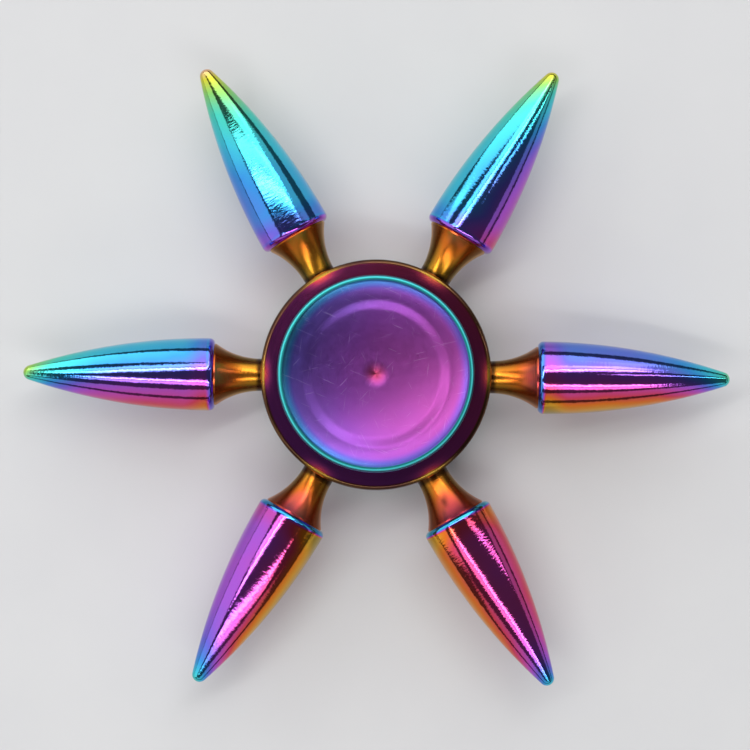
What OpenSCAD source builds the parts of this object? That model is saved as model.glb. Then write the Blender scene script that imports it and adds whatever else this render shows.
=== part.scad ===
// Six-arm finger spinner. A ring-shaped hub turns on a small deep-groove ball bearing.
// Six bullet-shaped weights screw onto flared stems, and the stems screw into the hub ring.
// Two dished thumb caps screw together through the bearing's bore and clamp its inner race.
// Millimetres. +Z is the spin axis, the first arm points along +X, and the part lies on its lower cap at z = 0.

/* [Overall] */
// Distance across two opposite bullet tips
span = 76; // [74:0.5:84]
// Height over both thumb caps
height = 13; // [12.6:0.1:15]

/* [Hub ring] */
// Outer diameter of the hub ring
hub_d = 24.6; // [24.2:0.1:27]
// Height of the hub ring
hub_h = 8; // [7.6:0.1:9]
// Rounding of the hub ring's outer edges
hub_edge_r = 0.4; // [0.3:0.1:1.4]
// Depth of the flat seat that each stem stands on
spot_depth = 0.22; // [0.2:0.02:0.4]

/* [Bullets] */
// Largest diameter of a bullet
bullet_d = 7.8; // [7.2:0.1:8.6]
// Distance from the spin axis to a bullet's flat heel
heel_at = 17.35; // [16.5:0.05:19]
// Rounding of a bullet's heel
heel_r = 0.6; // [0.3:0.05:1]
// Radius of a bullet's nose
nose_r = 0.8; // [0.5:0.05:1.2]

/* [Stems] */
// Diameter of a stem where it meets the hub ring
root_d = 3.5; // [3.4:0.1:3.8]
// Radius of the stem's concave flare
flare_r = 8; // [7.6:0.1:14]
// Width of the straight band at the stem's mouth
mouth_band = 0.15; // [0.1:0.05:0.4]
// Thread diameter of the tail that screws into the hub ring
tail_d = 3; // [2.6:0.1:3]
// Length of that tail
tail_len = 4; // [3:0.1:4]
// Thread diameter of the spigot that screws into a bullet
spigot_d = 3.5; // [3:0.1:4]
// Length of that spigot
spigot_len = 4.4; // [3:0.1:6]

/* [Thumb caps] */
// Diameter of a thumb cap
cap_d = 20.9; // [19:0.1:22]
// Gap between a thumb cap and the hub ring
cap_gap = 0.35; // [0.25:0.05:0.6]
// Width of the cap's flat lip
lip_w = 0.3; // [0.2:0.05:0.6]
// Rounding of the lip's outer edge
lip_edge_r = 0.18; // [0.1:0.02:0.4]
// Depth of the hollow rim inside the lip
rim_drop = 0.42; // [0.3:0.02:0.5]
// Depth of the soft step from the rim down to the bowl
step_drop = 0.1; // [0.06:0.02:0.2]
// Depth of the bowl
bowl_drop = 0.62; // [0.4:0.02:0.7]
// Diameter of the small dimple at the middle of the bowl
dimple_d = 2.6; // [2:0.1:4]
// Thread diameter of the stud that joins the two caps
stud_d = 4; // [3.5:0.1:4.4]

/* [Bearing] */
// Bore of the bearing
bore_d = 6.35; // [6:0.05:6.5]
// Outer diameter of the bearing
race_d = 12.7; // [12:0.1:13]
// Width of the bearing
race_w = 4.762; // [4.5:0.002:5]
// Diameter of a ball
ball_d = 1.5875; // [1.4:0.0005:1.6]

/* [Hidden] */
ARMS = 6;
BALLS = 10;

$fn = 96;
FINE = 256;          // segments of the one large arc, the bullet's ogive

// Fits
thread_gap = 0.03;   // between a thread's crest and its tapped hole, on the radius
press_gap = 0.01;    // between the bearing and its seats, on the radius
ball_gap = 0.012;    // between a ball and the raceways
pocket_gap = 0.06;   // between a ball and its cage pocket
shield_gap = 0.08;   // between a shield and the inner race, on the radius
seat_gap = 0.03;     // between a shield's rim and its seat, on the radius
clip_gap = 0.02;     // between a clip and each side of its groove

// Overall
mid_z = height / 2;
hub_r = hub_d / 2;
cap_r = cap_d / 2;
past = 1;            // how far a cutter reaches past the face it starts from

// Arms
arm_angle = 360 / ARMS;
seat_at = hub_r - spot_depth;            // where a stem's shoulder stands, from the spin axis
root_r = root_d / 2;
spot_r = root_r + 0.25;                  // radius of the flat seat under a stem's shoulder
bullet_r = bullet_d / 2;
mouth_r = bullet_r - heel_r;             // the stem's mouth covers the bullet's flat heel
bullet_len = span / 2 - heel_at;
coarse_pitch = 0.7;
fine_pitch = 0.5;
thread_depth = 0.6;                      // of a thread, as a share of its pitch
relief = 0.4;                            // plain length under a stem's shoulder or mouth
tail_hole = tail_len + 0.3;
spigot_hole = spigot_len + 0.5;
drill_angle = 59;                        // half angle of a drilled hole's end
bevel = 0.2;

// Bearing
pitch_r = (bore_d + race_d) / 4;
ball_r = ball_d / 2;
groove_r = ball_r * 1.04;
inner_shoulder_r = 4.25;
outer_shoulder_r = 5.3;
hub_lip_r = 5.9;                         // the hub ring's lip, which the outer race stands on
shoulder_z = 1.66;                       // half width of the outer race's shoulder, where the shield seats
shield_seat_r = 5.66;
shield_t = 0.2;
clip_z = 1.96;                           // lower face of the clip's groove
clip_groove_r = 5.86;
clip_in_r = 5.26;
clip_out_r = 5.82;
clip_t = 0.2;
clip_opening = 34;                       // degrees left open in a clip's ring
cage_in_r = 4.42;
cage_out_r = 5.13;
cage_low_z = -1.25;
cage_high_z = 0.42;
cage_floor_z = -0.35;                    // bottom of the slots that part the cage's fingers
cage_slot_w = 0.9;

// Thumb caps
cap_under_z = hub_h / 2 + cap_gap;
boss_r = 4.1;                            // stands on the inner race only
sleeve_r = bore_d / 2 - press_gap;
sleeve_end_z = 0.1;                      // the two sleeves stop short of each other
lip_z = height / 2;                      // the lip's height above the middle
lip_out_r = cap_r - lip_edge_r;
lip_in_r = lip_out_r - lip_w;
quirk_w = 0.12;                          // the narrow step that sets the lip off from the dish
quirk_drop = 0.08;
bowl_r = lip_in_r - 2.05;
bowl_power = 2.2;                        // above 2, so that the bowl is flatter towards its middle
step_w = 1.2;
dimple_depth = 0.2;
dish_steps = 64;
stud_tip_z = 4.1;
socket_end_z = 4.4;

COAT_BULLET = "#2fa6c8";
COAT_STEM = "#b8791e";
COAT_HUB = "#4a1f4f";
COAT_CAP = "#8a3fb0";

// ---- profile helpers, drawn with the radius along x and the axis along y ----

// A quarter disc that fills the corner to the right of and above (sy = 1) or below (sy = -1) its centre
module quarter(r, sy) {
    intersection() {
        circle(r = r);
        translate([0, sy > 0 ? 0 : -r]) square(r);
    }
}

// The zigzag flank of a thread, from one end to the other
function ridges(r_out, pitch, from, to) =
    let (turns = floor((to - from) / pitch), r_in = r_out - pitch * thread_depth)
    concat(
        [for (i = [0:turns - 1]) each [[r_in, from + i * pitch], [r_out, from + (i + 0.5) * pitch]]],
        [[r_in, from + turns * pitch]]
    );

// A threaded rod's half section
module thread_section(d, pitch, from, to) {
    flank = ridges(d / 2, pitch, from, to);
    polygon(concat([[0, from]], flank, [[flank[len(flank) - 1][0], to], [0, to]]));
}

// Turns a half section into a solid that lies along +X
module turned_along_x() {
    rotate([0, 90, 0]) rotate_extrude() children();
}

// Places its children as arm i, at the middle height
module as_arm(i) {
    translate([0, 0, mid_z]) rotate([0, 0, (i - 1) * arm_angle]) children();
}

// How far r has come from one radius to another, from 0 to 1
function share(from, to, r) = max(0, min(1, (from - r) / (from - to)));

// Turns an even rise from 0 to 1 into one that starts and ends level
function smooth(t) = t * t * (3 - 2 * t);

// ---- hub ring ----

module hub_section() {
    translate([hub_lip_r, -hub_h / 2]) square([hub_r - hub_edge_r - hub_lip_r, hub_h]);
    translate([hub_r - hub_edge_r, -hub_h / 2 + hub_edge_r]) square([hub_edge_r, hub_h - 2 * hub_edge_r]);
    for (s = [-1, 1]) translate([hub_r - hub_edge_r, s * (hub_h / 2 - hub_edge_r)]) quarter(hub_edge_r, s);
}

module stem_hole() {
    tip = tail_d / 2 + thread_gap;
    rotate([0, 90, 0]) {
        translate([0, 0, seat_at - tail_hole]) cylinder(r = tip, h = tail_hole + past);
        translate([0, 0, seat_at - tail_hole - tip / tan(drill_angle)])
            cylinder(r1 = 0, r2 = tip, h = tip / tan(drill_angle));
        translate([0, 0, seat_at]) cylinder(r = spot_r, h = spot_depth + past);
    }
}

module hub_ring() {
    seat_r = race_d / 2 + press_gap;
    color(COAT_HUB) translate([0, 0, mid_z]) difference() {
        rotate_extrude() hub_section();
        translate([0, 0, -race_w / 2]) cylinder(r = seat_r, h = hub_h);
        translate([0, 0, hub_h / 2 - bevel]) cylinder(r1 = seat_r, r2 = seat_r + 2 * bevel, h = 2 * bevel);
        for (i = [0:ARMS - 1]) rotate([0, 0, i * arm_angle]) stem_hole();
    }
}

// ---- arms ----

// The flare is cut by a circle through the root and the mouth, with its middle outside the stem
module flare_section() {
    low = [root_r, seat_at];
    high = [mouth_r, heel_at - mouth_band];
    chord = high - low;
    away = [chord[1], -chord[0]] / norm(chord);
    middle = (low + high) / 2 + away * sqrt(flare_r * flare_r - chord * chord / 4);
    difference() {
        translate([0, seat_at]) square([mouth_r, heel_at - seat_at]);
        translate(middle) circle(r = flare_r, $fn = FINE);
    }
}

module stem_section() {
    thread_section(tail_d, fine_pitch, seat_at - tail_len, seat_at - relief);
    translate([0, seat_at - relief]) square([tail_d / 2 - fine_pitch * thread_depth, relief]);
    flare_section();
    translate([0, heel_at]) square([spigot_d / 2 - fine_pitch * thread_depth, relief]);
    thread_section(spigot_d, fine_pitch, heel_at + relief, heel_at + spigot_len);
}

module stem(i) {
    color(COAT_STEM) as_arm(i) turned_along_x() stem_section();
}

// Rounded heel, then an ogive arc that starts along the axis, then a round nose that is tangent to it
module bullet_section() {
    run = bullet_len - heel_r - nose_r;  // from the ogive's start to the nose's middle
    ogive_r = (run * run + bullet_r * bullet_r - nose_r * nose_r) / (2 * (bullet_r - nose_r));
    nose_at = run * ogive_r / (ogive_r - nose_r);  // where the ogive ends, from its start
    square([bullet_r - heel_r, heel_r]);
    translate([bullet_r - heel_r, heel_r]) quarter(heel_r, -1);
    translate([0, heel_r]) {
        intersection() {
            translate([bullet_r - ogive_r, 0]) circle(r = ogive_r, $fn = FINE);
            square([bullet_r, nose_at]);
        }
        intersection() {
            translate([0, run]) circle(r = nose_r);
            translate([0, nose_at]) square([bullet_r, bullet_r]);
        }
    }
}

module bullet(i) {
    tip = spigot_d / 2 + thread_gap;
    color(COAT_BULLET) as_arm(i) translate([heel_at, 0, 0]) difference() {
        turned_along_x() bullet_section();
        rotate([0, 90, 0]) {
            translate([0, 0, -past]) cylinder(r = tip, h = spigot_hole + past);
            translate([0, 0, spigot_hole]) cylinder(r1 = tip, r2 = 0, h = tip / tan(drill_angle));
            translate([0, 0, -bevel]) cylinder(r1 = tip + 2 * bevel, r2 = tip, h = 2 * bevel);
        }
    }
}

// ---- thumb caps ----

// Depth of the dish below the lip at radius r: quirk, hollow rim, soft step, bowl and middle dimple
function dish(r) =
    let (over_rim = share(lip_in_r, bowl_r, r))
    quirk_drop * smooth(share(lip_in_r, lip_in_r - quirk_w, r))
    + rim_drop * over_rim * (3 - over_rim) / 2
    + step_drop * smooth(share(bowl_r, bowl_r - step_w, r))
    + bowl_drop * (1 - pow(min(r, bowl_r) / bowl_r, bowl_power))
    + dimple_depth * pow(share(dimple_d / 2, 0, r), 2);

module cap_disc_section() {
    polygon(concat(
        [[0, cap_under_z], [cap_r - bevel, cap_under_z], [cap_r, cap_under_z + bevel]],
        [[cap_r, lip_z - lip_edge_r], [lip_out_r, lip_z - lip_edge_r], [lip_out_r, lip_z]],
        [for (i = [0:dish_steps]) let (r = lip_in_r * (1 - i / dish_steps)) [r, lip_z - dish(r)]]
    ));
    translate([lip_out_r, lip_z - lip_edge_r]) quarter(lip_edge_r, 1);
}

// Disc, boss that clamps the inner race, and sleeve that fills half of the bearing's bore
module cap_section() {
    cap_disc_section();
    translate([0, race_w / 2]) square([boss_r, cap_under_z - race_w / 2]);
    translate([0, sleeve_end_z]) square([sleeve_r, race_w / 2 - sleeve_end_z]);
}

module thumb_cap_top() {
    color(COAT_CAP) translate([0, 0, mid_z]) difference() {
        rotate_extrude() cap_section();
        cylinder(r = stud_d / 2 + thread_gap, h = socket_end_z);
    }
}

module thumb_cap_bottom() {
    color(COAT_CAP) translate([0, 0, mid_z]) {
        rotate_extrude() mirror([0, 1]) cap_section();
        rotate_extrude() thread_section(stud_d, coarse_pitch, -past, stud_tip_z);
    }
}

// ---- bearing ----

module groove() {
    translate([pitch_r, 0]) circle(r = groove_r);
}

// The groove's circle is moved so that its deepest point clears the ball by ball_gap
module bearing_inner_race() {
    color("silver") translate([0, 0, mid_z]) rotate_extrude() difference() {
        translate([bore_d / 2, -race_w / 2]) square([inner_shoulder_r - bore_d / 2, race_w]);
        translate([groove_r - ball_r - ball_gap, 0]) groove();
    }
}

module bearing_outer_race() {
    color("silver") translate([0, 0, mid_z]) rotate_extrude() difference() {
        translate([outer_shoulder_r, -race_w / 2]) square([race_d / 2 - outer_shoulder_r, race_w]);
        translate([ball_r + ball_gap - groove_r, 0]) groove();
        for (s = [0, 1]) mirror([0, s]) {
            translate([0, shoulder_z]) square([shield_seat_r, race_w]);
            translate([0, clip_z]) square([clip_groove_r, clip_t + 2 * clip_gap]);
        }
    }
}

// Places its children at the middle height, turned over for the lower side
module bearing_side(side) {
    translate([0, 0, mid_z]) mirror([0, 0, side < 0 ? 1 : 0]) children();
}

// A dished washer that rides with the outer race and just clears the inner one
module bearing_shield(side) {
    color("gainsboro") bearing_side(side) translate([0, 0, shoulder_z + clip_gap]) difference() {
        cylinder(r = shield_seat_r - seat_gap, h = shield_t);
        translate([0, 0, -past]) cylinder(r = inner_shoulder_r + shield_gap, h = shield_t + 2 * past);
    }
}

// An open spring ring that holds the shield in its groove
module shield_clip(side) {
    color("dimgray") bearing_side(side) translate([0, 0, clip_z + clip_gap])
        rotate_extrude(angle = 360 - clip_opening)
            translate([clip_in_r, 0]) square([clip_out_r - clip_in_r, clip_t]);
}

module at_ball(i) {
    rotate([0, 0, (i - 1) * 360 / BALLS]) translate([pitch_r, 0, 0]) children();
}

module bearing_ball(i) {
    color("white") translate([0, 0, mid_z]) at_ball(i) sphere(r = ball_r);
}

// Crown cage: a ring with one open-topped pocket for each ball
module bearing_cage() {
    color("peru") translate([0, 0, mid_z]) difference() {
        translate([0, 0, cage_low_z]) difference() {
            cylinder(r = cage_out_r, h = cage_high_z - cage_low_z);
            translate([0, 0, -past]) cylinder(r = cage_in_r, h = cage_high_z - cage_low_z + 2 * past);
        }
        for (i = [1:BALLS]) at_ball(i) sphere(r = ball_r + pocket_gap);
        for (i = [1:BALLS]) rotate([0, 0, (i - 0.5) * 360 / BALLS])
            translate([cage_in_r - past, -cage_slot_w / 2, cage_floor_z])
                cube([cage_out_r - cage_in_r + 2 * past, cage_slot_w, cage_high_z - cage_floor_z + past]);
    }
}

hub_ring();
for (i = [1:ARMS]) {
    stem(i);
    bullet(i);
}
thumb_cap_top();
thumb_cap_bottom();
bearing_outer_race();
bearing_inner_race();
bearing_cage();
bearing_shield(1);  // bearing_shield_top
bearing_shield(-1);  // bearing_shield_bottom
shield_clip(1);  // shield_clip_top
shield_clip(-1);  // shield_clip_bottom
for (i = [1:BALLS]) bearing_ball(i);
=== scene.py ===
# %% [markdown]
# # A rainbow-coated finger spinner
# A finger spinner is a heavy ring that turns on a small ball bearing. This one has six bullet-shaped
# weights on flared stems around the ring, and two dished caps to hold it by. Everything that shows is
# turned metal, polished, and coated in a vacuum with a film so thin that its thickness gives it its colour.
#
# The lesson turns each piece from its half outline, as a lathe would, and then spends its effort on the
# coating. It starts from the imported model, which fixes every size and place. Sizes are in millimetres until
# a piece is finished, because that is how a turner reads a drawing.

# %% Load the model that the pieces are built around
import math

import bmesh
import bpy
from mathutils import Matrix, Vector


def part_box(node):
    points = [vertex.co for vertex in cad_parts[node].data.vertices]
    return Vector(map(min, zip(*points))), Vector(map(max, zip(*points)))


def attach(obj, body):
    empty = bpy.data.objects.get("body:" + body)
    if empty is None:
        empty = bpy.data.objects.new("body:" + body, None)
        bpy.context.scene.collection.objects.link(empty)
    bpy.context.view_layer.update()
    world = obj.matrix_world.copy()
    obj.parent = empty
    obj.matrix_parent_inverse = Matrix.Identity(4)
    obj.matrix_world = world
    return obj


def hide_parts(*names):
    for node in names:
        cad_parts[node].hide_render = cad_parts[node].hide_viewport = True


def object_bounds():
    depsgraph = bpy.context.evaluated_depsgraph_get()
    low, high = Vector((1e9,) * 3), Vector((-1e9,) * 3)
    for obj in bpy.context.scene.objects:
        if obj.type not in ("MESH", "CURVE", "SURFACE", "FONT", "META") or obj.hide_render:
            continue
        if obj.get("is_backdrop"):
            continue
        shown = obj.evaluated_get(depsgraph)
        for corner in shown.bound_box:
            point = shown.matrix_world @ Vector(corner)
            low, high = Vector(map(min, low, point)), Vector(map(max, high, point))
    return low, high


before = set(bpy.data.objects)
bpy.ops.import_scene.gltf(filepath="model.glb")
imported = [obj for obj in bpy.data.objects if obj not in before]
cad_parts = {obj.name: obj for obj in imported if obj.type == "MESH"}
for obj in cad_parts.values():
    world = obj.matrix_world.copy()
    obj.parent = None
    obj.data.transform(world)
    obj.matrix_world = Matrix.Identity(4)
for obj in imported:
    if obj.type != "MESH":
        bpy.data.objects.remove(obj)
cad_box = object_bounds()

MM = 0.001

# %% [markdown]
# The driving sizes are read from the model's own boxes, so a change there carries over to here. A box gives
# outer sizes only, so the small roundings and bores, which no box shows, are named values.

# %% Read the sizes of the model
def node_box(node):
    """A node's lowest and highest corner, in millimetres."""
    low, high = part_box(node)
    return low / MM, high / MM


ARMS = 6
bullet_low, bullet_high = node_box("bullet_1")
stem_low, stem_high = node_box("stem_1")
hub_low, hub_high = node_box("hub_ring")
_, cap_high = node_box("thumb_cap_top")
race_low, race_high = node_box("bearing_outer_race")

MID_Z = (hub_low.z + hub_high.z) / 2
HEEL_AT = bullet_low.x
TIP_AT = bullet_high.x
BULLET_LENGTH = TIP_AT - HEEL_AT
BULLET_R = (bullet_high.z - bullet_low.z) / 2
MOUTH_R = (stem_high.z - stem_low.z) / 2
HUB_R = hub_high.x
HUB_HALF_H = (hub_high.z - hub_low.z) / 2
CAP_R = cap_high.x
CAP_TOP_Z = cap_high.z - MID_Z  # the ring's and the caps' heights are counted from the middle
RACE_R = race_high.x
RACE_HALF_W = (race_high.z - race_low.z) / 2
print(f"span {2 * TIP_AT:.1f} mm, hub ring {2 * HUB_R:.1f} mm, thumb cap {2 * CAP_R:.1f} mm")

# %% [markdown]
# ## The camera
# The spinner lies flat and is seen from almost straight above, tilted a few degrees towards the viewer. A
# long lens from a third of a metre keeps the arms from looking longer on one side. A camera that looks down
# has no natural upright, so its three axes are built by hand from the direction it looks along and from +Y.

# %% Set the camera above the spinner
VIEW_DISTANCE = 350 * MM
VIEW_WIDTH = 80.7 * MM          # what the frame takes in, at the height of the arms
CLIP_START = 10 * MM
LEAN = Vector((0.008, -0.044, 1))
ROLL = math.radians(0.6)
AIM = Vector((-0.13, 0.11, MID_Z)) * MM

camera_data = bpy.data.cameras.new("camera")
camera_data.lens = camera_data.sensor_width * VIEW_DISTANCE / VIEW_WIDTH
camera_data.clip_start = CLIP_START
camera = bpy.data.objects.new("camera", camera_data)
bpy.context.collection.objects.link(camera)
back = LEAN.normalized()
right = Vector((0, 1, 0)).cross(back).normalized()
axes = Matrix((right, back.cross(right), back)).transposed()
camera.matrix_world = (
    Matrix.Translation(AIM + back * VIEW_DISTANCE) @ axes.to_4x4() @ Matrix.Rotation(ROLL, 4, "Z")
)
bpy.context.scene.camera = camera
print(f"camera {camera_data.lens:.0f} mm lens")

# %% [markdown]
# ## A lathe
# Every piece of the spinner is round about its own axis. Three ways to make such a piece are a stack of
# cylinders, a Screw modifier on a curve, and a spin of its half outline. The spin is chosen because it is
# what a lathe does: one outline, drawn once, gives the whole piece and closes it without a seam. Arcs in
# the outline are made by the same operator, as it spins the outline's last point about the arc's centre.

# %% A class that draws a half outline and turns it
MERGE_WITHIN = 1e-4             # points closer than this are one point
THREAD_DEPTH = 0.6              # of a thread, as a share of its pitch


class Lathe:
    """Draws a half outline in the plane y = 0, with x as the radius, and turns it about Z."""

    def __init__(self, radius, height):
        self.mesh = bmesh.new()
        self.last = self.mesh.verts.new((radius, 0, height))

    def line(self, radius, height):
        """Cuts straight to a point."""
        made = bmesh.ops.extrude_vert_indiv(self.mesh, verts=[self.last])
        self.last = made["verts"][0]
        self.last.co = (radius, 0, height)
        return self

    def arc(self, radius, height, degrees, steps):
        """Cuts round a centre. A positive angle turns from +x towards +z."""
        made = bmesh.ops.spin(
            self.mesh, geom=[self.last], cent=(radius, 0, height), axis=(0, -1, 0),
            angle=math.radians(degrees), steps=steps, use_duplicate=False,
        )
        self.last = [v for v in made["geom_last"] if isinstance(v, bmesh.types.BMVert)][0]
        return self

    def thread(self, crest, pitch, start, end):
        """Cuts the saw-tooth section of a thread, and goes on straight to its end."""
        root = crest - THREAD_DEPTH * pitch
        turns = math.floor(abs(end - start) / pitch)
        step = math.copysign(pitch, end - start)
        for i in range(turns):
            self.line(root, start + i * step).line(crest, start + (i + 0.5) * step)
        return self.line(root, start + turns * step).line(root, end)

    def turn(self, steps):
        """Spins the outline through a full turn and closes its seam and poles."""
        bmesh.ops.spin(
            self.mesh, geom=self.mesh.verts[:] + self.mesh.edges[:], cent=(0, 0, 0), axis=(0, 0, 1),
            angle=math.tau, steps=steps, use_merge=True, use_duplicate=False,
        )
        bmesh.ops.remove_doubles(self.mesh, verts=self.mesh.verts[:], dist=MERGE_WITHIN)
        bmesh.ops.recalc_face_normals(self.mesh, faces=self.mesh.faces[:])
        return self.mesh


trial = Lathe(0, 0).line(1, 0).line(1, 1).line(0, 1).turn(steps=24)
print("a trial disc off the lathe is closed:", all(edge.is_manifold for edge in trial.edges))
trial.free()

# %% [markdown]
# A turned piece still has to go where it belongs: an arm's axis is turned from Z to X, lifted to the middle
# height and swung to its angle. This is done to the mesh, and its object stays at the origin, so that a
# pattern read from object coordinates stays where it was cut. The same function joins the piece to the body
# it moves with and hides the model's part that it stands for.

# %% Helpers that place and register a finished piece
SHARP_ANGLE = math.radians(32)  # an edge steeper than this stays crisp in the shading


def arm_angle(arm):
    """The angle of an arm about the spin axis, from +X."""
    return math.tau * arm / ARMS


def lay_along_arm(mesh, arm):
    """Moves a mesh that was turned about Z so that its +Z becomes the direction of an arm."""
    turned = Matrix.Rotation(arm_angle(arm), 4, "Z") @ Matrix.Rotation(math.pi / 2, 4, "Y")
    place = Matrix.Translation((0, 0, MID_Z)) @ turned
    bmesh.ops.transform(mesh, matrix=place, verts=mesh.verts[:])


def lift_to_middle(mesh):
    """Moves a mesh up, from heights about the middle to heights above the floor."""
    bmesh.ops.translate(mesh, vec=(0, 0, MID_Z), verts=mesh.verts[:])


def finish_piece(mesh, name, node, body, material):
    """Turns a mesh in millimetres into a piece that stands for one node of the model."""
    bmesh.ops.scale(mesh, vec=(MM, MM, MM), verts=mesh.verts[:])
    data = bpy.data.meshes.new(name)
    mesh.to_mesh(data)
    mesh.free()
    data.shade_smooth()
    data.set_sharp_from_angle(angle=SHARP_ANGLE)
    data.materials.append(material)
    piece = bpy.data.objects.new(name, data)
    bpy.context.collection.objects.link(piece)
    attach(piece, body)
    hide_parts(node)
    return piece


print("arms at", *(round(math.degrees(arm_angle(arm))) for arm in range(ARMS)), "degrees")

# %% [markdown]
# ## Writing materials as sums
# A procedural material is arithmetic on positions. Drawn as a node graph, a sum of five terms is a tangle,
# so one small class wraps a socket and lets Python's own operators add the Math nodes. Everything that
# isn't a number goes through one method that takes a node's type, its settings and its sockets. A socket is
# named by its label, or by its number after an underscore where a node's labels repeat.

# %% A class that wraps a socket of a node graph
class Wire:
    """A value in a material's graph. Arithmetic on it adds Math nodes."""

    def __init__(self, tree, socket):
        self.tree = tree
        self.socket = socket

    def node(self, kind, settings=None, output=0, **sockets):
        """Adds any node, sets it up, then fills its sockets, and gives one of its outputs."""
        made = self.tree.nodes.new(kind)
        for key, value in (settings or {}).items():
            setattr(made, key, value)
        for key, value in sockets.items():
            self.plug(made.inputs[int(key[1:]) if key[1:].isdigit() else key.replace("_", " ")], value)
        return Wire(self.tree, made.outputs[output] if len(made.outputs) else None)

    def plug(self, socket, value):
        """Links a wire to a socket, or sets the socket to a plain value."""
        if isinstance(value, Wire):
            self.tree.links.new(value.socket, socket)
        else:
            socket.default_value = value

    def math(self, operation, a, b=0.0):
        """A Math node of one or two values."""
        return self.node("ShaderNodeMath", {"operation": operation}, _0=a, _1=b)

    def __add__(self, other):
        return self.math("ADD", self, other)

    def __radd__(self, other):
        return self.math("ADD", other, self)

    def __sub__(self, other):
        return self.math("SUBTRACT", self, other)

    def __rsub__(self, other):
        return self.math("SUBTRACT", other, self)

    def __mul__(self, other):
        return self.math("MULTIPLY", self, other)

    def __rmul__(self, other):
        return self.math("MULTIPLY", other, self)

    def __truediv__(self, other):
        return self.math("DIVIDE", self, other)

    def __rtruediv__(self, other):
        return self.math("DIVIDE", other, self)

    def __pow__(self, power):
        return self.math("POWER", self, power)

    def ramp(self, start, end):
        """0 below start, 1 above end, and smooth between."""
        return self.node(
            "ShaderNodeMapRange", {"interpolation_type": "SMOOTHSTEP"},
            Value=self, From_Min=start, From_Max=end,
        )

    def toward(self, goal, amount):
        """This value, moved to a goal by an amount from 0 to 1."""
        return self + (goal - self) * amount

    def mix(self, amount, first, second):
        """A blend of two colours, on sockets 6 and 7 and output 2. An amount of 0 gives the first."""
        return self.node("ShaderNodeMix", {"data_type": "RGBA"}, output=2, _0=amount, _6=first, _7=second)

    def stretch(self, factors):
        """This place scaled along each axis, which draws a pattern out along the axes of small factors."""
        return self.node("ShaderNodeVectorMath", {"operation": "MULTIPLY"}, _0=self, _1=factors)

    def noise(self, at, scale, detail=2.0, roughness=0.5):
        """Noise about 0, from -1 to 1."""
        made = self.node(
            "ShaderNodeTexNoise", {"noise_dimensions": "3D"}, Vector=at, Scale=scale, Detail=detail,
            Roughness=roughness,
        )
        return made * 2 - 1


print("a wire adds Math nodes for + - * / and **")

# %% [markdown]
# ## The coating
# Vacuum coating grows a clear film on the polished metal. Light that is reflected from the film's two faces
# interferes, so the colour runs through a fixed series as the film grows thicker: straw, orange, magenta,
# violet, blue, cyan, green, yellow and pink. The real film is thin in the corners near the hub and thick on
# the tips that faced the source. It could be painted as patches of colour, but a single thickness value
# that runs through one colour series makes every blend come out in the right order, as it does on the real
# metal.

# %% The colours of the film, from thin to thick
FILM = (
    (0.00, (0.38, 0.27, 0.04)),
    (0.07, (0.68, 0.35, 0.03)),
    (0.14, (0.74, 0.17, 0.02)),
    (0.21, (0.66, 0.06, 0.11)),
    (0.29, (0.60, 0.08, 0.38)),
    (0.38, (0.42, 0.10, 0.64)),
    (0.47, (0.16, 0.14, 0.70)),
    (0.56, (0.05, 0.30, 0.75)),
    (0.65, (0.06, 0.56, 0.72)),
    (0.75, (0.08, 0.66, 0.52)),
    (0.85, (0.28, 0.66, 0.16)),
    (0.93, (0.66, 0.64, 0.05)),
    (1.00, (0.80, 0.42, 0.30)),
)


def film_colour(thickness):
    """The colour of a film of that thickness, from 0 to 1."""
    made = thickness.node("ShaderNodeValToRGB", Fac=thickness)
    ramp = made.socket.node.color_ramp
    for _ in FILM[2:]:          # a new ramp has two stops
        ramp.elements.new(0.5)
    for stop, (position, colour) in zip(ramp.elements, FILM):
        stop.position = position
        stop.color = (*colour, 1)
    return made


print("the film runs through", len(FILM), "colours")

# %% [markdown]
# Each coated piece shares one shader and differs only in how thick its film is, how it was polished and
# which marks its surface carries. A polished metal is a metallic surface of low roughness. Its colour, its
# roughness and its fine relief vary over the surface. Everything that is the same all over is set on the
# shader itself.

# %% Start a material, and close it with its shader
def start_material(name):
    """A new material and the place of the shaded point, in millimetres in the model's frame."""
    material = bpy.data.materials.new(name)
    material.use_nodes = True
    tree = material.node_tree
    tree.nodes.clear()
    pen = Wire(tree, None)
    place = pen.node("ShaderNodeTexCoord", output="Object")
    millimetres = pen.node("ShaderNodeVectorMath", {"operation": "SCALE"}, Vector=place, Scale=1 / MM)
    return material, pen, millimetres


def surface(pen, colour, roughness, relief, depth_um, metallic=1.0):
    """A metal surface, unless metallic is 0. Its relief is from -1 to 1, times depth_um in micrometres."""
    bump = pen.node("ShaderNodeBump", Height=relief, Strength=1.0, Distance=depth_um * MM * MM)
    shader = pen.node(
        "ShaderNodeBsdfPrincipled", Base_Color=colour, Metallic=metallic, Roughness=roughness, Normal=bump
    )
    pen.node("ShaderNodeOutputMaterial", Surface=shader)


def split(place):
    """The three coordinates of a vector."""
    parts = place.node("ShaderNodeSeparateXYZ", Vector=place)
    outputs = parts.socket.node.outputs
    return [Wire(place.tree, outputs[i]) for i in range(3)]


def round_z(pen, place):
    """The three coordinates of a place, then its radius and its angle about the spin axis."""
    x, y, z = split(place)
    return x, y, z, (x * x + y * y) ** 0.5, pen.math("ARCTAN2", y, x)


print("a micrometre of relief is", MM * MM, "m")

# %% [markdown]
# On an arm the film changes in three ways: it grows from the heel to the tip, it is thicker on the side
# that faced the source, and it looks thinner towards the flanks. So the bullet's material needs to know
# where along the arm, and how far round it, a point is. A Mapping node turns the model's frame into the
# arm's own. How well an arm faced the source sets many of its values, so such a value is a pair: what it is
# on an arm square to the source, and what facing the source adds.

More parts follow.
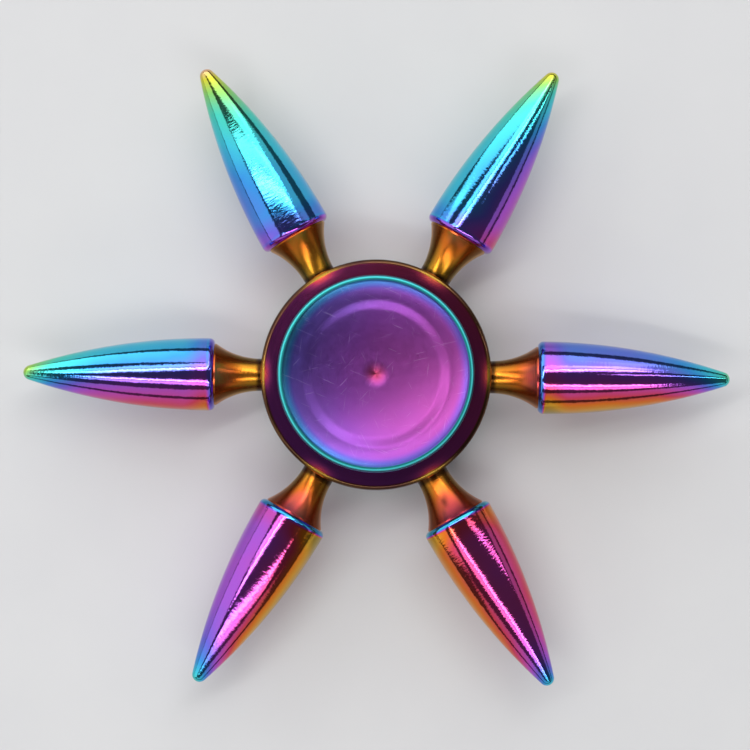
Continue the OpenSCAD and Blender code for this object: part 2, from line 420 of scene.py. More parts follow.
# %% Positions along and around an arm, and how the arm faced the source
SOURCE = Vector((-0.29, 0.96))  # the direction of the coating source, in the plane of the arms
AXIS_GUARD = 0.0001             # keeps a division from failing on an arm's axis


def arm_frame(place, arm):
    """The place in an arm's own frame, how far along the arm it is, and the sine of its angle round it."""
    own = place.node(
        "ShaderNodeMapping", {"vector_type": "POINT"}, Vector=place,
        Rotation=(0, 0, -arm_angle(arm)), Location=(0, 0, -MID_Z),
    )
    along, across, above = split(own)
    from_axis = (across * across + above * above + AXIS_GUARD) ** 0.5
    return own, along, across / from_axis


def arm_facing(arm):
    """How an arm's direction, and the direction across it, lie to the source, each from -1 to 1."""
    direction = Vector((math.cos(arm_angle(arm)), math.sin(arm_angle(arm))))
    across = Vector((-direction.y, direction.x))
    return direction.dot(SOURCE), across.dot(SOURCE)


def for_arm(pair, towards):
    """A value for one arm, from its pair."""
    square, added = pair
    return square + added * towards


print("arms face the source by", *(f"{arm_facing(arm)[0]:+.2f}" for arm in range(ARMS)))

# %% [markdown]
# ### The finish of the bullets
# A bullet is polished on a lathe, so its fine marks run round it. They are too fine to see, but they fray
# the edges of every reflection. Shallow dents and a slow ripple left by the polishing wheel bend the long
# streaks a little. The marks could be modelled as grooves, but at this scale bump gives the same gleam. The
# narrow edge of the heel faces the other way than the tip, so its film is thin on an arm whose body has a
# thick one, and thick where the body's is thin.

# %% The coating of a bullet
BODY_FILM = (0.43, 0.15)
TIP_FILM = (0.83, 0.17)
HEEL_FILM = (0.50, -0.13)
TIP_RISE = (4.6, -2.2)          # the power of the film's rise to the tip: a high one comes late
SIDE_FILM = 0.24                # what one flank gains and the other loses
FLANK_LOSS = (0.09, -0.06)      # what both flanks lose
TIP_EVENNESS = 0.8              # how much less the flanks differ at the tip
HEEL_BAND = (0.5, 0.9, 3.5)     # a thinner band beside the heel: where it starts, is full and ends
HEEL_BAND_LOSS = 0.08
HEEL_EDGE = (0.35, 0.75)        # where the heel's own film gives way to the body's
BULLET_ROUGHNESS = 0.08


def bullet_coating(arm):
    """The rainbow of one bullet, which depends on how its arm faced the source."""
    material, pen, place = start_material(f"bullet_coating_{arm + 1}")
    own, along, side = arm_frame(place, arm)
    towards, sideways = arm_facing(arm)
    from_heel = along - HEEL_AT
    body = for_arm(BODY_FILM, towards)
    tip = for_arm(TIP_FILM, towards)
    near_tip = (from_heel / BULLET_LENGTH) ** for_arm(TIP_RISE, towards)
    flanks = SIDE_FILM * sideways * side - for_arm(FLANK_LOSS, towards) * side * side
    cloud = pen.noise(place, scale=0.22)
    thickness = body + (tip - body) * near_tip + flanks * (1 - TIP_EVENNESS * near_tip) + 0.04 * cloud
    band_start, band_full, band_end = HEEL_BAND
    band = from_heel.ramp(band_start, band_full) * (1 - from_heel.ramp(band_full, band_end))
    edge = 1 - from_heel.ramp(*HEEL_EDGE)
    thickness = thickness.toward(for_arm(HEEL_FILM, towards), edge) - HEEL_BAND_LOSS * band

    round_marks = own.stretch((3.0, 1.0, 1.0))
    frayed = pen.noise(round_marks, scale=1.5, detail=3.0)
    dents = pen.noise(own, scale=0.8, detail=2.0)
    ripple = pen.noise(own, scale=0.3, detail=1.0)
    rubs = pen.noise(round_marks, scale=0.4, detail=4.0, roughness=0.6)
    relief = 0.30 * frayed + 0.30 * dents + 0.4 * ripple
    surface(pen, film_colour(thickness), BULLET_ROUGHNESS + 0.04 * rubs, relief, depth_um=20)
    return material


bullet_coats = [bullet_coating(arm) for arm in range(ARMS)]
print("coated:", *(coat.name for coat in bullet_coats))

# %% [markdown]
# ## The bullets
# Each bullet is a solid weight with a blind tapped bore in its heel. Its outline is a rounded heel, a long
# ogive, which is one large arc that starts parallel to the axis, and a small round nose that the ogive runs
# into without a corner. A cone would look like a crayon, and a scaled sphere would be fat near its tip. The
# ogive's radius follows from where it starts and where it has to meet the nose.

# %% The sizes of a bullet
HEEL_R = 0.6
NOSE_R = 0.8
SPIGOT_R = 1.75
SPIGOT_HOLE = 4.9
HOLE_GAP = 0.03
DRILL_ANGLE = math.radians(59)
CHAMFER = 0.2

OGIVE_RUN = BULLET_LENGTH - HEEL_R - NOSE_R
OGIVE_R = (OGIVE_RUN ** 2 + BULLET_R ** 2 - NOSE_R ** 2) / (2 * (BULLET_R - NOSE_R))
OGIVE_SWEEP = math.degrees(math.asin(OGIVE_RUN / (OGIVE_R - NOSE_R)))
print(f"the ogive is {OGIVE_SWEEP:.1f} degrees of an arc of {OGIVE_R:.1f} mm")

# %% [markdown]
# The outline is drawn from the nose outwards, over the heel and up the bore to the drill's point, so it
# starts and ends on the axis and the turned bullet is closed.

# %% Turn the six bullets
def bullet_mesh():
    """A bullet that stands on its heel at the origin, with its nose up."""
    hole_r = SPIGOT_R + HOLE_GAP
    lathe = Lathe(0, BULLET_LENGTH)
    lathe.arc(0, HEEL_R + OGIVE_RUN, OGIVE_SWEEP - 90, steps=10)
    lathe.arc(BULLET_R - OGIVE_R, HEEL_R, -OGIVE_SWEEP, steps=64)
    lathe.arc(BULLET_R - HEEL_R, HEEL_R, -90, steps=10)
    lathe.line(hole_r + CHAMFER, 0).line(hole_r, CHAMFER).line(hole_r, SPIGOT_HOLE)
    lathe.line(0, SPIGOT_HOLE + hole_r / math.tan(DRILL_ANGLE))
    return lathe.turn(steps=128)


for arm in range(ARMS):
    mesh = bullet_mesh()
    bmesh.ops.translate(mesh, vec=(0, 0, HEEL_AT), verts=mesh.verts[:])
    lay_along_arm(mesh, arm)
    node = f"bullet_{arm + 1}"
    piece = finish_piece(mesh, f"{node}_turned", node, "rotor", bullet_coats[arm])
print("six bullets, each", len(piece.data.polygons), "faces")

# %% [markdown]
# ### The finish of the stems
# The hub shaded the stems from the source, so their film is thin: straw and orange by the ring, and red by
# the bullet. Painted shade darkens the corner against the ring and the flanks, and a painted pale highlight
# runs close to the outline. A stem is turned but not polished as brightly as a bullet, so rings are left on
# it and its streaks are soft.

# %% The coating of a stem
ROOT_FILM = (0.10, -0.02)
MOUTH_FILM = (0.08, -0.01)      # what the mouth has more than the root
STEM_FLANK_LOSS = 0.08
STEM_SHADE = (0.04, 0.015, 0.005, 1)
STEM_DULL = 0.12                # how far the colour goes to the shade all over
FLANK_PAINTED_SHADE = 0.58               # painted shade on the flanks
CORNER_PAINTED_SHADE = 0.85              # painted shade in the corner against the ring
CORNER = (0.25, 0.75)           # where the painted shade of the corner ends, from the ring
FLANK_SHADE_SPAN = (0.05, 0.40)       # where the painted shade on a flank starts and is full, from 0 on top to 1 at the outline
OUTLINE_PAINTED_HIGHLIGHT = (0.80, 0.97)     # where a painted pale highlight takes most of it back, close to the outline
STEM_RINGS = 34                 # radians per millimetre, so a ring is 0.18 mm wide
STEM_ROUGHNESS = 0.25


def stem_coating(arm):
    """The straw, orange and red of one stem, with painted shade on its flanks and in its corner, and a
    painted pale highlight by its outline.
    """
    material, pen, place = start_material(f"stem_coating_{arm + 1}")
    own, along, side = arm_frame(place, arm)
    towards, _ = arm_facing(arm)
    to_mouth = along.ramp(HUB_R, HEEL_AT)
    round_it = side * side
    cloud = pen.noise(place, scale=0.5)
    thickness = for_arm(ROOT_FILM, towards) + for_arm(MOUTH_FILM, towards) * to_mouth
    thickness = thickness - STEM_FLANK_LOSS * round_it + 0.03 * cloud

    frayed = pen.noise(own.stretch((6.0, 1.2, 1.2)), scale=1.6, detail=3.0)
    rings = pen.math("SINE", along * STEM_RINGS)
    # painted shade on the flanks, with a painted pale highlight close to the outline
    painted_flank_shade = round_it.ramp(*FLANK_SHADE_SPAN) * (1 - 0.8 * round_it.ramp(*OUTLINE_PAINTED_HIGHLIGHT))
    # painted shade in the corner against the ring
    painted_corner_shade = 1 - (along - HUB_R).ramp(*CORNER)
    # painted shade: a little all over, much on the flanks and in the corner by the ring
    painted_shade = STEM_DULL + FLANK_PAINTED_SHADE * painted_flank_shade + (CORNER_PAINTED_SHADE - FLANK_PAINTED_SHADE * painted_flank_shade) * painted_corner_shade
    colour = pen.mix(painted_shade, film_colour(thickness), STEM_SHADE)
    surface(pen, colour, STEM_ROUGHNESS + 0.06 * frayed, 0.5 * frayed + 0.3 * rings, depth_um=3.5)
    return material


stem_coats = [stem_coating(arm) for arm in range(ARMS)]
print("coated:", *(coat.name for coat in stem_coats))

# %% [markdown]
# ## The stems
# A stem joins a bullet to the hub ring. It is one turned piece: a threaded tail that goes into the ring, a
# neck that flares like a trumpet until it meets the bullet's heel, and a threaded spigot that the bullet
# screws onto. The flare could be a curve with handles, but one arc through the root and the mouth is what a
# turner's form tool leaves. Its centre lies out beside the middle of the chord between them.

# %% The sizes of a stem
SPOT_DEPTH = 0.22
SEAT_AT = HUB_R - SPOT_DEPTH    # the flat that a stem stands on, cut a little into the ring
ROOT_R = 1.75
FLARE_R = 8.0
MOUTH_BAND = 0.15
MOUTH_AT = HEEL_AT - MOUTH_BAND
TAIL_R = 1.5
TAIL_LENGTH = 4.0
SPIGOT_LENGTH = 4.4
FINE_PITCH = 0.5
RELIEF = 0.4

chord = Vector((MOUTH_R - ROOT_R, MOUTH_AT - SEAT_AT))
FLARE_HALF_ANGLE = math.asin(chord.length / 2 / FLARE_R)
outward = Vector((chord.y, -chord.x)).normalized()
middle = Vector((ROOT_R + MOUTH_R, SEAT_AT + MOUTH_AT)) / 2
FLARE_CENTRE = middle + outward * FLARE_R * math.cos(FLARE_HALF_ANGLE)
print(f"the flare turns through {2 * math.degrees(FLARE_HALF_ANGLE):.1f} degrees")

# %% [markdown]
# The outline runs from the tail's end, through its thread to the seat, along the flare to the mouth, and
# through the spigot's thread to its end. The threads are closed grooves without a helix, since they are
# hidden.

# %% Turn the six stems
def stem_mesh():
    """A stem about the Z axis, with distances from the hub's middle."""
    tail_end = SEAT_AT - TAIL_LENGTH
    spigot_end = HEEL_AT + SPIGOT_LENGTH
    thread_drop = THREAD_DEPTH * FINE_PITCH
    lathe = Lathe(0, tail_end)
    lathe.thread(TAIL_R, FINE_PITCH, tail_end, SEAT_AT - RELIEF)
    lathe.line(TAIL_R - thread_drop, SEAT_AT).line(ROOT_R, SEAT_AT)
    lathe.arc(FLARE_CENTRE.x, FLARE_CENTRE.y, -2 * math.degrees(FLARE_HALF_ANGLE), steps=24)
    lathe.line(MOUTH_R, HEEL_AT).line(SPIGOT_R - thread_drop, HEEL_AT)
    lathe.thread(SPIGOT_R, FINE_PITCH, HEEL_AT + RELIEF, spigot_end)
    lathe.line(0, spigot_end)
    return lathe.turn(steps=96)


for arm in range(ARMS):
    mesh = stem_mesh()
    lay_along_arm(mesh, arm)
    node = f"stem_{arm + 1}"
    piece = finish_piece(mesh, f"{node}_turned", node, "rotor", stem_coats[arm])
print("six stems, each", len(piece.data.polygons), "faces")

# %% [markdown]
# ### The finish of the hub ring
# The ring's flat faces are wine red under an even painted shade, which is lighter on the outer wall and
# darker on the thin gold line of the rounded outer edge. Beside each stem the film is thinner and the painted
# shade lighter, so a painted reflection of the stem shows orange and red on the face.
# Facing the ring on the lathe left fine marks round it. They could be drawn as a wave of the radius, but
# that is too even. They are noise instead, at a place made of the radius and a little of the angle, so it
# varies fast across the marks and slowly along them.

# %% The coating of the hub ring
HUB_EDGE_R = 0.4
RING_FILM = 0.295
RING_DRIFT = (-0.003, -0.004)   # per millimetre along x and y
WALL_GROWTH = 0.025             # per millimetre of height, on the outer wall
WALL = (0.2, 1.6)               # where the wall begins, from the nearer face
# a painted reflection of each stem: a thinner, orange film beside it
STEM_REFLECTION_FILM = 0.16
STEM_REFLECTION_SPAN = (HUB_R - 1.6, HUB_R - 0.3)
STEM_REFLECTION_POWER = 6                  # a high one keeps each painted reflection close to its stem
EDGE_FILM = 0.04
EDGE = (HUB_R - HUB_EDGE_R - 0.10, HUB_R - HUB_EDGE_R + 0.04)
RING_SHADE = (0.03, 0.006, 0.02, 1)
FACE_PAINTED_SHADE = 0.6                 # painted shade: how far the colour goes to the shade on the flat faces
WALL_LIFT = 0.45                # how much less painted shade on the wall
EDGE_PAINTED_SHADE = 0.3                 # how much more painted shade on the gold edge
STEM_REFLECTION_LIFT = 0.5                 # how much less painted shade in a painted reflection of a stem
RING_ROUGHNESS = 0.13


def ring_place(pen, radius, angle, height, closeness, along_ring):
    """A place for noise that comes out drawn into rings about the spin axis."""
    return pen.node(
        "ShaderNodeCombineXYZ", X=radius * closeness, Y=angle * along_ring, Z=height * closeness,
    )


def hub_coating():
    """Wine red under painted shade, with a painted reflection of each stem and a gold edge."""
    material, pen, place = start_material("hub_coating")
    x, y, z, radius, angle = round_z(pen, place)
    height = z - MID_Z
    from_face = HUB_HALF_H - pen.math("ABSOLUTE", height)
    on_wall = from_face.ramp(*WALL)
    # where the painted reflection of each stem lies on the ring
    painted_stem_reflection = (0.5 + 0.5 * pen.math("COSINE", angle * ARMS)) ** STEM_REFLECTION_POWER * radius.ramp(*STEM_REFLECTION_SPAN)
    at_edge = radius.ramp(*EDGE) * (1 - on_wall)
    cloud = pen.noise(place, scale=0.25)
    thickness = RING_FILM + RING_DRIFT[0] * x + RING_DRIFT[1] * y + 0.03 * cloud
    thickness = thickness + WALL_GROWTH * height * on_wall
    thickness = thickness.toward(STEM_REFLECTION_FILM, 0.9 * painted_stem_reflection).toward(EDGE_FILM, at_edge)

    rings = ring_place(pen, radius, angle, z, closeness=9, along_ring=0.8)
    turning = pen.noise(rings, scale=1.0, detail=3.0)
    # painted shade: strong on the flat faces, more on the gold edge, less on the wall and beside each stem
    painted_shade = FACE_PAINTED_SHADE + 0.1 * cloud - WALL_LIFT * on_wall + EDGE_PAINTED_SHADE * at_edge - STEM_REFLECTION_LIFT * painted_stem_reflection
    colour = pen.mix(painted_shade, film_colour(thickness), RING_SHADE)
    surface(pen, colour, RING_ROUGHNESS + 0.04 * turning + 0.17 * painted_stem_reflection, turning, depth_um=1.2)
    return material


hub_coat = hub_coating()
print("coated:", hub_coat.name)

# %% [markdown]
# ## The hub ring
# The ring holds the bearing in a seat with a lip under it, and has six tapped holes round its wall, each
# with a small flat seat that its stem stands on. The ring itself is turned. The flats and holes are drilled
# across it, so they are cut with a Boolean, as a drill would.

# %% Turn the hub ring
HUB_LIP_R = 5.9
FIT_GAP = 0.01
SEAT_R = RACE_R + FIT_GAP


def hub_mesh():
    """The ring before it is drilled, about the middle height."""
    lathe = Lathe(HUB_LIP_R, -HUB_HALF_H).line(HUB_R - HUB_EDGE_R, -HUB_HALF_H)
    lathe.arc(HUB_R - HUB_EDGE_R, HUB_EDGE_R - HUB_HALF_H, 90, steps=10)
    lathe.line(HUB_R, HUB_HALF_H - HUB_EDGE_R)
    lathe.arc(HUB_R - HUB_EDGE_R, HUB_HALF_H - HUB_EDGE_R, 90, steps=10)
    lathe.line(SEAT_R + CHAMFER, HUB_HALF_H).line(SEAT_R, HUB_HALF_H - CHAMFER)
    lathe.line(SEAT_R, -RACE_HALF_W).line(HUB_LIP_R, -RACE_HALF_W).line(HUB_LIP_R, -HUB_HALF_H)
    return lathe.turn(steps=240)


blank = hub_mesh()
lift_to_middle(blank)
print("the undrilled ring has", len(blank.faces), "faces")

# %% [markdown]
# All six drills go into one mesh, so that the ring is cut once. Each is a hole with a pointed end and a
# wide cutter behind it, which faces the seat.

# %% Shape the six drills
TAIL_HOLE = 4.3
SPOT_R = 2.0
CLEAR = 1.0                     # how far a drill stands out of the ring


def drill_mesh():
    """The space that the six drills take out."""
    hole_r = TAIL_R + HOLE_GAP
    joined = bmesh.new()
    for arm in range(ARMS):
        lathe = Lathe(0, SEAT_AT - TAIL_HOLE - hole_r / math.tan(DRILL_ANGLE))
        lathe.line(hole_r, SEAT_AT - TAIL_HOLE).line(hole_r, SEAT_AT).line(SPOT_R, SEAT_AT)
        lathe.line(SPOT_R, HUB_R + CLEAR).line(0, HUB_R + CLEAR)
        drill = lathe.turn(steps=64)
        lay_along_arm(drill, arm)
        loose = bpy.data.meshes.new("drill")
        drill.to_mesh(loose)
        drill.free()
        joined.from_mesh(loose)
        bpy.data.meshes.remove(loose)
    return joined


drills = drill_mesh()
print("the drills have", len(drills.faces), "faces")

# %% [markdown]
# A Boolean modifier works on objects, so the two meshes become objects for a moment. The result is read
# back into a bmesh and the objects are removed, which leaves no live modifier on the piece.

# %% Drill the ring
def cut(mesh, cutter):
    """The first mesh with the second taken out of it. Both are used up."""
    objects = []
    for name, part in (("blank", mesh), ("cutter", cutter)):
        data = bpy.data.meshes.new(name)
        part.to_mesh(data)
        part.free()
        objects.append(bpy.data.objects.new(name, data))
        bpy.context.collection.objects.link(objects[-1])
    whole, tool = objects
    boolean = whole.modifiers.new("drill", "BOOLEAN")
    boolean.operation = "DIFFERENCE"
    boolean.solver = "EXACT"
    boolean.object = tool
    result = bmesh.new()
    result.from_object(whole, bpy.context.evaluated_depsgraph_get())
    for item in objects:
        data = item.data
        bpy.data.objects.remove(item)
        bpy.data.meshes.remove(data)
    return result


mesh = cut(blank, drills)
piece = finish_piece(mesh, "hub_ring_turned", "hub_ring", "rotor", hub_coat)
print("hub ring", len(piece.data.polygons), "faces")

# %% [markdown]
# ## The thumb caps
# The caps are what the fingers hold. Each is a disc with a narrow flat lip and a dish inside it. A tiny
# groove parts the lip from a hollow rim, a soft step leads down to the bowl, and a dimple is left where the
# turning tool came to the middle. Under the disc, a boss stands on the bearing's inner race, and a sleeve
# fills half of its bore. The lower cap has a threaded stud and the upper one a tapped socket. Arcs could be
# joined up into a dish, but a satin surface shows every joint, so one smooth formula is sampled finely
# instead.

# %% The shape of the dish
LIP_EDGE_R = 0.18
LIP_W = 0.3
LIP_OUT_R = CAP_R - LIP_EDGE_R
LIP_IN_R = LIP_OUT_R - LIP_W
QUIRK_W = 0.12                  # the groove inside the lip
QUIRK_DROP = 0.08
RIM_W = 2.05
RIM_DROP = 0.42
BOWL_R = LIP_IN_R - RIM_W
STEP_W = 1.2
STEP_DROP = 0.10
BOWL_DROP = 0.62
BOWL_POWER = 2.2                # 2 is a ball's hollow, and more is flatter in the middle
DIMPLE_R = 1.6
DIMPLE_DROP = 0.24


def share(start, end, r):
    """How far r has come from one radius in to another, from 0 to 1."""
    return min(1, max(0, (start - r) / (start - end)))


def smooth(t):
    """Turns an even rise from 0 to 1 into one that starts and ends level."""
    return t * t * (3 - 2 * t)


def dish(r):
    """How far the dish lies below the lip: quirk, hollow rim, soft step, bowl and middle dimple."""
    over_rim = share(LIP_IN_R, BOWL_R, r)
    return (
        QUIRK_DROP * smooth(share(LIP_IN_R, LIP_IN_R - QUIRK_W, r))
        + RIM_DROP * over_rim * (3 - over_rim) / 2
        + STEP_DROP * smooth(share(BOWL_R, BOWL_R - STEP_W, r))
        + BOWL_DROP * (1 - (min(r, BOWL_R) / BOWL_R) ** BOWL_POWER)
        + DIMPLE_DROP * share(DIMPLE_R, 0, r) ** 2
    )


print(f"the dish is {dish(0):.2f} mm deep")

# %% [markdown]
# ### The finish of the thumb caps
# Fingers rub the dish, so it is satin, hazy and crossed by hair-fine scratches, as keys and coins leave
# them. A scratch could be a thin mesh or a painted line. Noise that is stretched far along one direction
# and cut off just below its peaks gives short straight hairs, and a few turned layers of it cross each
# other.

# %% Fine scratches
SCRATCH_LAYERS = (              # how far each layer is turned, in radians, and shifted
    (0.4, 3.0), (1.1, 11.0), (1.7, 17.0), (2.3, 23.0), (2.9, 31.0),
)
HAIR_STRETCH = (0.4, 9.0, 1.0)


def fine_scratches(pen, place):
    """1 on a few hair-fine lines and 0 elsewhere."""
    layers = 0.0
    for turn, shift in SCRATCH_LAYERS:
        turned = pen.node(
            "ShaderNodeMapping", {"vector_type": "POINT"}, Vector=place, Rotation=(0, 0, turn),
            Location=(shift, shift, 0),
        )
        hairs = turned.stretch(HAIR_STRETCH)
        line = pen.noise(hairs, scale=1.0, detail=1.0).ramp(0.36, 0.5)
        patches = pen.noise(hairs, scale=0.3, detail=1.0).ramp(-0.1, 0.4)
        layers = layers + line * patches
    return pen.math("MINIMUM", layers, 1.0)


print(len(SCRATCH_LAYERS), "layers of scratches")

# %% [markdown]
# The dish runs from magenta on the lower right to violet and blue on the upper left and at its rim, and the
# lip is teal. Painted shade darkens the dish, and painted dark lines where the lip rolls into the groove and
# over the outside make it look thin and crisp.

# %% The coating of the thumb caps
DISH_FILM = 0.345
DISH_RISE = 0.06                # what the film gains from the middle to the rim
DISH_DRIFT = (-0.008, 0.0025)   # per millimetre along x and y
DIMPLE_LOSS = 0.13
RIM_RISE = 0.13
RIM = (CAP_R * 0.84, CAP_R * 0.94)
LIP_FILM = 0.70
LIP_START = (LIP_IN_R - 0.07, LIP_IN_R)
ROLLED_IN = (LIP_IN_R + 0.10, LIP_IN_R + 0.22)
ROLLED_OUT = (LIP_OUT_R - 0.06, LIP_OUT_R + 0.06)
TOP_EDGE = (0.08, 0.25)         # how far down the outside the painted dark line goes
CAP_SHADE = (0.03, 0.015, 0.06, 1)
LIP_SHADE = (0.0, 0.05, 0.06, 1)
SCRATCH_PALE = (0.62, 0.52, 0.72, 1)
# painted shade: over the dish, as a line over the outside, and as a line inside the lip
DISH_PAINTED_SHADE = 0.56
OUTSIDE_PAINTED_SHADE = 0.85
INSIDE_PAINTED_SHADE = 0.75
SCRATCH_SHOW = 0.15
LIP_ROUGHNESS = 0.40
DISH_ROUGHNESS = 0.31


def cap_coating(which):
    """The coating of the top or the bottom cap, with painted shade over the dish and in two dark lines by the
    lip.
    """
    material, pen, place = start_material(f"cap_coating_{which}")
    x, y, z, radius, angle = round_z(pen, place)
    cloud = pen.noise(place, scale=0.16)
    out_share = radius / CAP_R
    on_lip = radius.ramp(*LIP_START)
    in_dish = 1 - on_lip
    thickness = DISH_FILM + DISH_RISE * out_share ** 2 + RIM_RISE * radius.ramp(*RIM)
    thickness = thickness + DISH_DRIFT[0] * x + DISH_DRIFT[1] * y + 0.02 * cloud
    thickness = thickness - DIMPLE_LOSS * (1 - radius.ramp(0.0, DIMPLE_R))
    thickness = thickness.toward(LIP_FILM, on_lip)

    rings = ring_place(pen, radius, angle, 0.0, closeness=7, along_ring=0.7)
    turning = pen.noise(rings, scale=1.6, detail=4.0, roughness=0.65)
    scratches = fine_scratches(pen, place)
    haze = pen.noise(place, scale=1.3, detail=5.0, roughness=0.7)
    satin = (0.05 * turning + 0.06 * haze - (LIP_ROUGHNESS - DISH_ROUGHNESS)) * in_dish
    relief = (0.8 * turning + 0.6 * haze) * in_dish - 0.5 * scratches

    from_top = CAP_TOP_Z - pen.math("ABSOLUTE", z - MID_Z)
    # painted shade: a dark line over the outside of the lip, just below its top
    outside = radius.ramp(*ROLLED_OUT) * (1 - from_top.ramp(*TOP_EDGE))
    # painted shade: a dark line where the lip rolls into the groove
    inside = on_lip * (1 - radius.ramp(*ROLLED_IN))
    # painted shade darkens the dish
    painted_shade = pen.mix(DISH_PAINTED_SHADE * in_dish + OUTSIDE_PAINTED_SHADE * outside, film_colour(thickness), CAP_SHADE)
    shaded = pen.mix(INSIDE_PAINTED_SHADE * inside, painted_shade, LIP_SHADE)
    colour = pen.mix(SCRATCH_SHOW * scratches, shaded, SCRATCH_PALE)
    surface(pen, colour, LIP_ROUGHNESS + satin + 0.08 * scratches, relief, depth_um=2.6)
    return material


cap_coats = {f"thumb_cap_{which}": cap_coating(which) for which in ("top", "bottom")}
print("coated:", *(coat.name for coat in cap_coats.values()))

# %% [markdown]
# The outline of a cap runs from the middle of the dish out over the lip, down the outside, and back in
# along the underside, the boss and the sleeve to the stud or the socket. The lower cap is the same outline
# turned over.

# %% Turn the two thumb caps
RUN_GAP = 0.35                  # between a cap and the ring, so that the ring turns freely
CAP_UNDER = HUB_HALF_H + RUN_GAP
BOSS_R = 4.1
BORE_D = 6.35
SLEEVE_R = BORE_D / 2 - FIT_GAP
SLEEVE_END = 0.1
STUD_R = 2.0
STUD_END = -4.1
SOCKET_END = 4.4
COARSE_PITCH = 0.7
DISH_STEPS = 72


def cap_mesh(has_stud):
    """A thumb cap with its lip up. The upper cap has a socket, and the lower one a stud."""
    lathe = Lathe(0, CAP_TOP_Z - dish(0))
    for step in range(1, DISH_STEPS + 1):
        r = LIP_IN_R * step / DISH_STEPS
        lathe.line(r, CAP_TOP_Z - dish(r))
    lathe.line(LIP_OUT_R, CAP_TOP_Z).arc(LIP_OUT_R, CAP_TOP_Z - LIP_EDGE_R, -90, steps=8)
    lathe.line(CAP_R, CAP_UNDER + CHAMFER).line(CAP_R - CHAMFER, CAP_UNDER)
    lathe.line(BOSS_R, CAP_UNDER).line(BOSS_R, RACE_HALF_W)
    lathe.line(SLEEVE_R, RACE_HALF_W).line(SLEEVE_R, SLEEVE_END)
    if has_stud:
        lathe.thread(STUD_R, COARSE_PITCH, SLEEVE_END, STUD_END).line(0, STUD_END)
    else:
        socket_r = STUD_R + HOLE_GAP
        lathe.line(socket_r, SLEEVE_END).line(socket_r, SOCKET_END).line(0, SOCKET_END)
    return lathe.turn(steps=200)


for node, coat in cap_coats.items():
    is_lower = node == "thumb_cap_bottom"
    mesh = cap_mesh(has_stud=is_lower)
    if is_lower:
        bmesh.ops.rotate(mesh, cent=(0, 0, 0), matrix=Matrix.Rotation(math.pi, 3, "X"), verts=mesh.verts[:])
    lift_to_middle(mesh)
    piece = finish_piece(mesh, f"{node}_turned", node, "core", coat)
    print(node, len(piece.data.polygons), "faces")

# %% [markdown]
# ## The bearing
# The bearing is shut in between the ring and the caps. Its shapes are right in the model, so they stay, and
# only need the metals that bearings are made of: ground steel races, mirror-bright balls, a brass cage,
# thin pressed shields and dark spring clips. Each could be a plain grey, but a ground metal is faintly
# stained and has marks that run round it. One function makes them all from a table.

# %% The metals of the bearing
def bearing_metal(name, light, dark, roughness, marks_um):
    """A ground metal, faintly stained between two colours, with marks that run round the axis."""
    material, pen, place = start_material(name)
    _, _, z, radius, angle = round_z(pen, place)
    rings = ring_place(pen, radius, angle, z, closeness=12, along_ring=1.5)
    marks = pen.noise(rings, scale=1.0, detail=3.0)
    stain = pen.noise(place, scale=1.1, detail=3.0)
    colour = pen.mix(0.5 + 0.5 * stain, (*dark, 1), (*light, 1))
    surface(pen, colour, roughness + 0.25 * roughness * marks, marks, depth_um=marks_um)
    return material


METALS = (                      # name, light and dark colour, roughness, depth of the marks in micrometres
    ("race_steel", (0.72, 0.72, 0.73), (0.60, 0.60, 0.62), 0.22, 0.8),
    ("ball_steel", (0.84, 0.84, 0.85), (0.76, 0.76, 0.78), 0.06, 0.1),
    ("cage_brass", (0.80, 0.58, 0.26), (0.62, 0.42, 0.17), 0.32, 1.0),
    ("shield_steel", (0.66, 0.66, 0.67), (0.54, 0.54, 0.56), 0.28, 0.8),
    ("clip_steel", (0.34, 0.34, 0.36), (0.22, 0.22, 0.24), 0.35, 1.0),
)
BEARING = {
    "bearing_outer_race": "race_steel",
    "bearing_inner_race": "race_steel",
    "bearing_cage": "cage_brass",
    "bearing_shield_top": "shield_steel",
    "bearing_shield_bottom": "shield_steel",
    "shield_clip_top": "clip_steel",
    "shield_clip_bottom": "clip_steel",
}

metals = {row[0]: bearing_metal(*row) for row in METALS}
for node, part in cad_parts.items():
    metal = "ball_steel" if node.startswith("bearing_ball") else BEARING.get(node)
    if metal is not None:
        part.data.materials.clear()
        part.data.materials.append(metals[metal])
print("bearing parts:", len(BEARING), "and the balls")

# %% [markdown]
# ## The floor
# The spinner lies on its lower cap, on a pale matt floor that fills the polished flanks with light. The
# floor is part of the scene and not of the spinner, so it is marked as stage.

# %% Lay the floor
FLOOR_SIZE = 3
FLOOR_ROUGHNESS = 0.7
FLOOR_GREYS = ((0.60, 0.60, 0.61, 1), (0.64, 0.64, 0.64, 1))


def floor_material():
    """A matt grey that is slightly uneven."""
    material, pen, place = start_material("pale_floor")
    grain = pen.noise(place, scale=0.08, detail=3.0)
    colour = pen.mix(0.5 + 0.5 * grain, *FLOOR_GREYS)
    surface(pen, colour, FLOOR_ROUGHNESS, grain, depth_um=5, metallic=0.0)
    return material


plane = bmesh.new()
bmesh.ops.create_grid(plane, x_segments=1, y_segments=1, size=FLOOR_SIZE)
data = bpy.data.meshes.new("floor")
plane.to_mesh(data)
plane.free()
data.materials.append(floor_material())
floor = bpy.data.objects.new("floor", data)
bpy.context.collection.objects.link(floor)
floor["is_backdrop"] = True
print(f"floor {2 * max(v.co.x for v in data.vertices):.0f} m across")
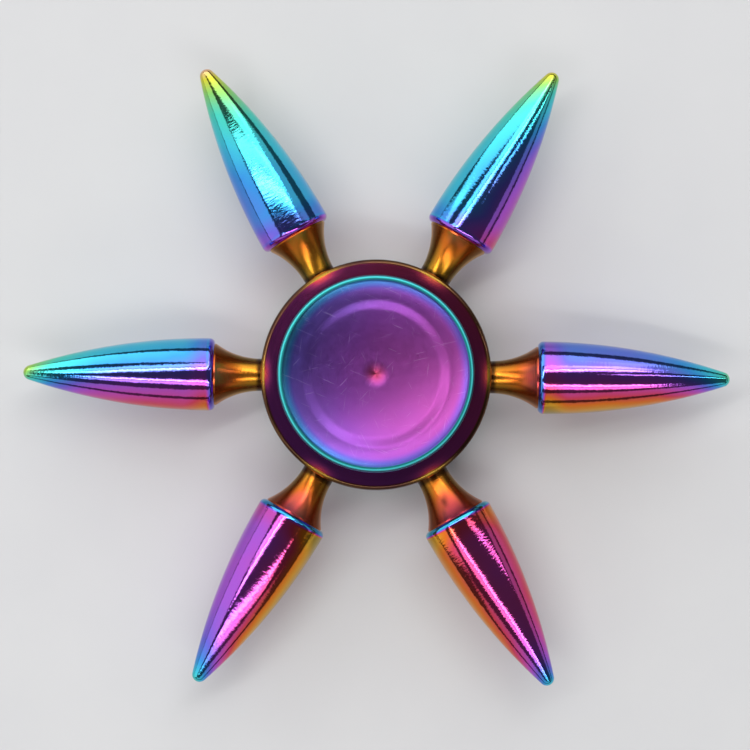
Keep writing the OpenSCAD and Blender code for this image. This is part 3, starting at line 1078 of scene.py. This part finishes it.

# %% [markdown]
# ## The light
# Polished metal shows its surroundings more than itself, so the light is arranged as reflections. Two long
# soft boxes hang behind the spinner and two in front of it, and each pair draws a broad streak along every
# bullet, with a thin dark line where the two boxes part. A thin bright tube in each pair gives the streak
# its white core. Large dim walls fill in the sides. There is no light straight above, so the flat top of
# the ring stays dark, with painted shade on it as well, and its thin gold edge stands out.

# %% Hang the lights
BOX_AT = 1.0                    # metres from the spinner
TUBE_AT = 0.97                  # in front of the boxes, so that they don't hide a tube
LIGHTS = (                      # name, distance, across, up, width, height, roll, brightness
    ("back_box_low", BOX_AT, -8, 14.5, 72, 8, 26, 3.6),
    ("back_box_high", BOX_AT, -8, 26, 72, 9, 26, 2.8),
    ("back_wall", BOX_AT, -20, 56, 70, 40, 6, 1.6),
    ("left_wall", BOX_AT, -66, 2, 42, 74, 0, 1.0),
    ("front_box_high", BOX_AT, -2, -25.5, 62, 7, -12, 3.2),
    ("front_box_low", BOX_AT, -2, -34.5, 62, 7, -12, 2.4),
    ("front_wall", BOX_AT, 0, -66, 80, 26, 0, 0.6),
    ("back_corner", BOX_AT, 42, 40, 26, 30, 0, 0.6),
    ("right_wall", BOX_AT, 74, 0, 16, 60, 0, 0.4),
    ("back_tube", TUBE_AT, -8, 16, 68, 1.2, 26, 14),
    ("front_tube", TUBE_AT, -2, -26, 58, 1.1, -12, 12),
    ("right_tube", TUBE_AT, 40, 13, 40, 2.4, 4, 5),
)


def soft_box(name, distance, across, up, width, height, roll, brightness):
    """A rectangular light that faces the spinner. Its place and size are angles, seen from the spinner."""
    light = bpy.data.lights.new(name, "AREA")
    light.shape = "RECTANGLE"
    light.size = 2 * distance * math.tan(math.radians(width / 2))
    light.size_y = 2 * distance * math.tan(math.radians(height / 2))
    light.energy = brightness * math.pi * light.size * light.size_y
    lamp = bpy.data.objects.new(name, light)
    bpy.context.collection.objects.link(lamp)
    turned = Matrix.Rotation(math.radians(across), 4, "Y") @ Matrix.Rotation(-math.radians(up), 4, "X")
    rolled = Matrix.Rotation(math.radians(roll), 4, "Z")
    lamp.matrix_world = turned @ Matrix.Translation((0, 0, distance)) @ rolled


for row in LIGHTS:
    soft_box(*row)
print(len(LIGHTS), "lights")

# %% [markdown]
# A faint even sky keeps what no light reaches from going black. The plain view transform shows the colours
# as they are set, without a film look over them.

# %% Light the sky
SKY = (0.80, 0.82, 0.88, 1)
SKY_STRENGTH = 0.12

world = bpy.data.worlds.new("studio")
world.use_nodes = True
background = world.node_tree.nodes["Background"]
background.inputs["Color"].default_value = SKY
background.inputs["Strength"].default_value = SKY_STRENGTH
bpy.context.scene.world = world
bpy.context.scene.view_settings.view_transform = "Standard"
print("sky at", SKY_STRENGTH)

# %% [markdown]
# ## Closing the scene
# The finished pieces have to fill the same box as the model, so both boxes are compared and their largest
# difference is printed.

# %% Compare both boxes and close the scene
visual_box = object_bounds()
gap = max(abs(a - b) for cad, visual in zip(cad_box, visual_box) for a, b in zip(cad, visual))
print(f"the two boxes agree to {gap / MM:.3f} mm")
